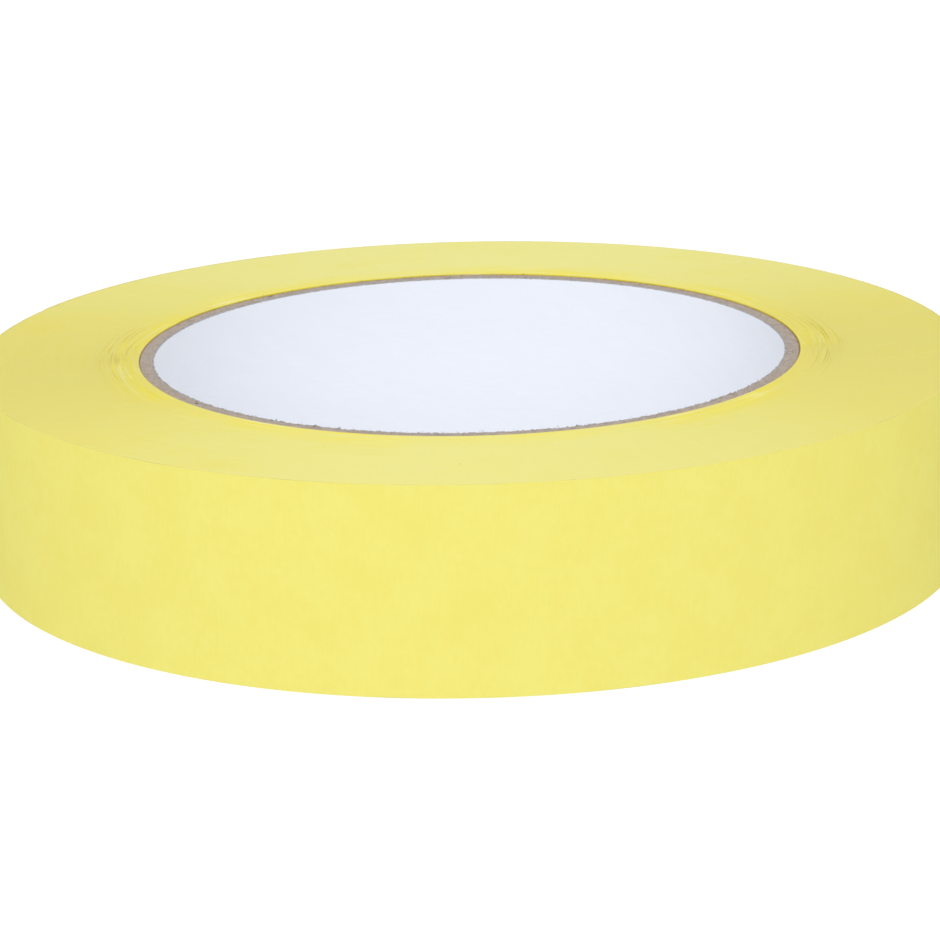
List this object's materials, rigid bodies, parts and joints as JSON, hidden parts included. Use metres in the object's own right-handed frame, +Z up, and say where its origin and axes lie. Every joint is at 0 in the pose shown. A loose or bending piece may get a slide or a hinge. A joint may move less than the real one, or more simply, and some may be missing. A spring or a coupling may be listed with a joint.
{
  "type": "masking tape roll",
  "caption": "Flat-lying roll of pale yellow crepe paper masking tape on a white-lined greyboard core, with a free end that peels off and folds back.",
  "frame": {"origin": "centre of the core's bore, in the plane of the roll's lower face", "axes": "+Z up along the bore, +X to the right and -Y to the front, with the tape's free end at the back left"},
  "size_m": [0.1188, 0.1189, 0.024],
  "materials": {
    "crepe_paper": "matte",
    "wound_edges": "matte",
    "adhesive": "satin",
    "white_paper": "matte",
    "grey_board": "matte",
    "kraft_paper": "matte"
  },
  "bodies": {
    "roll": {"core_liner": "white_paper", "core_board_ply_1": "grey_board", "core_board_ply_2": "grey_board", "core_board_ply_3": "grey_board", "core_board_ply_4": "grey_board", "core_wrap_ply": "kraft_paper", "wound_tape": "wound_edges", "last_turn_adhesive": "adhesive", "last_turn_backing": "crepe_paper"},
    "free_end_1": {"free_end_adhesive_1": "adhesive", "free_end_backing_1": "crepe_paper"},
    "free_end_2": {"free_end_adhesive_2": "adhesive", "free_end_backing_2": "crepe_paper"},
    "free_end_3": {"free_end_adhesive_3": "adhesive", "free_end_backing_3": "crepe_paper"},
    "free_end_4": {"free_end_adhesive_4": "adhesive", "free_end_backing_4": "crepe_paper"},
    "free_end_5": {"free_end_adhesive_5": "adhesive", "free_end_backing_5": "crepe_paper"},
    "free_end_6": {"free_end_adhesive_6": "adhesive", "free_end_backing_6": "crepe_paper"}
  },
  "joints": [
    {"name": "peel_1", "type": "hinge", "parent": "roll", "child": "free_end_1", "pos_m": [-0.02647, 0.0533, 0], "axis": [0, 0, -1], "range_deg": [0, 24]},
    {"name": "peel_2", "type": "hinge", "parent": "free_end_1", "child": "free_end_2", "pos_m": [-0.02913, 0.05189, 0], "axis": [0, 0, -1], "range_deg": [0, 24]},
    {"name": "peel_3", "type": "hinge", "parent": "free_end_2", "child": "free_end_3", "pos_m": [-0.03171, 0.05035, 0], "axis": [0, 0, -1], "range_deg": [0, 24]},
    {"name": "peel_4", "type": "hinge", "parent": "free_end_3", "child": "free_end_4", "pos_m": [-0.03422, 0.04869, 0], "axis": [0, 0, -1], "range_deg": [0, 24]},
    {"name": "peel_5", "type": "hinge", "parent": "free_end_4", "child": "free_end_5", "pos_m": [-0.03663, 0.0469, 0], "axis": [0, 0, -1], "range_deg": [0, 15]},
    {"name": "peel_6", "type": "hinge", "parent": "free_end_5", "child": "free_end_6", "pos_m": [-0.04398, 0.0401, 0], "axis": [0, 0, -1], "range_deg": [0, 15]}
  ],
  "couplings": [
    {"joint": "peel_2", "follows": "peel_1", "ratio": 1},
    {"joint": "peel_3", "follows": "peel_1", "ratio": 1},
    {"joint": "peel_4", "follows": "peel_1", "ratio": 1},
    {"joint": "peel_5", "follows": "peel_1", "ratio": 0.625},
    {"joint": "peel_6", "follows": "peel_1", "ratio": 0.625}
  ]
}
